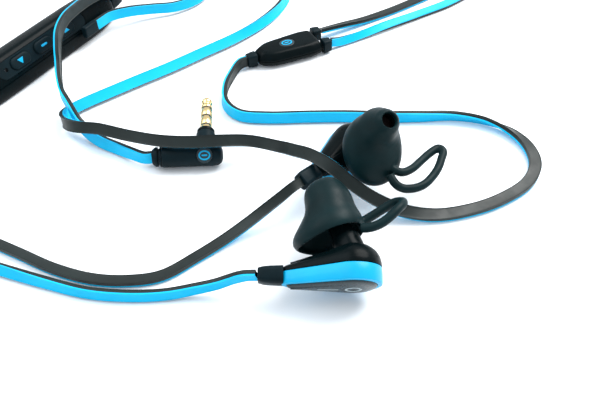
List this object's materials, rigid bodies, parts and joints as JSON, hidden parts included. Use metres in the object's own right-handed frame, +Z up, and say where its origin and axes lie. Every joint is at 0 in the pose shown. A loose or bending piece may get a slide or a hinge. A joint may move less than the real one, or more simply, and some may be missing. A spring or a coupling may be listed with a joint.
{
  "type": "wired sports earphones",
  "caption": "Wired in-ear sports earphones with a flat two-tone cord, winged silicone ear gels, an inline control pod, a cord splitter and a right-angle plug.",
  "frame": {"origin": "on the surface the set lies on, under the middle of the box around the two earphones and the control pod", "axes": "+Z up from that surface, +X from the control pod towards the earphones' wings, +Y from the earphones towards the splitter"},
  "size_m": [0.2113, 0.1969, 0.0281],
  "materials": {
    "black_plastic": "satin black",
    "blue_plastic": "satin cyan blue",
    "cover_grey": "satin dark grey",
    "silicone": "matte silicone",
    "black_rubber": "fine matte",
    "steel": "brushed",
    "board": "solder mask",
    "gold": "polished plating",
    "insulator": "matte",
    "cord": "matte, black on one broad face and blue on the other"
  },
  "bodies": {
    "set": {"cord_left": "cord", "cord_main": "cord", "cord_plug": "cord", "cord_right": "cord", "left_cord_boot": "black_rubber", "left_driver": "steel", "left_ear_gel": "silicone", "left_face_cover": "cover_grey", "left_front_shell": "black_plastic", "left_nozzle_screen": "steel", "left_trim_band": "blue_plastic", "plug_badge": "blue_plastic", "plug_collar": "black_plastic", "plug_cord_bush": "black_rubber", "plug_grip": "black_rubber", "plug_insulator_1": "insulator", "plug_insulator_2": "insulator", "plug_insulator_3": "insulator", "plug_ring_contact_1": "gold", "plug_ring_contact_2": "gold", "plug_sleeve_contact": "gold", "plug_tip_contact": "gold", "pod_button_bezel": "black_rubber", "pod_centre_dome_switch": "steel", "pod_circuit_board": "board", "pod_end_boot": "black_rubber", "pod_lower_shell": "black_plastic", "pod_microphone": "steel", "pod_side_boot": "black_rubber", "pod_upper_shell": "black_plastic", "pod_volume_down_dome_switch": "steel", "pod_volume_up_dome_switch": "steel", "right_cord_boot": "black_rubber", "right_driver": "steel", "right_ear_gel": "silicone", "right_face_cover": "cover_grey", "right_front_shell": "black_plastic", "right_nozzle_screen": "steel", "right_trim_band": "blue_plastic", "splitter_badge": "blue_plastic", "splitter_bottom_shell": "black_plastic", "splitter_left_bush": "black_rubber", "splitter_right_bush": "black_rubber", "splitter_single_bush": "black_rubber", "splitter_top_shell": "black_plastic"},
    "volume_down_button": {"pod_volume_down_button": "black_rubber"},
    "centre_button": {"pod_centre_button": "black_rubber"},
    "volume_up_button": {"pod_volume_up_button": "black_rubber"}
  },
  "joints": [
    {"name": "volume_down_press", "type": "slide", "parent": "set", "child": "volume_down_button", "axis": [-0.7539, 0.4179, -0.507], "range_m": [0, 0.0004], "stiffness_N_per_m": 1500, "springref_m": -0.0001},
    {"name": "centre_press", "type": "slide", "parent": "set", "child": "centre_button", "axis": [-0.7539, 0.4179, -0.507], "range_m": [0, 0.0004], "stiffness_N_per_m": 1500, "springref_m": -0.0001},
    {"name": "volume_up_press", "type": "slide", "parent": "set", "child": "volume_up_button", "axis": [-0.7539, 0.4179, -0.507], "range_m": [0, 0.0004], "stiffness_N_per_m": 1500, "springref_m": -0.0001}
  ]
}
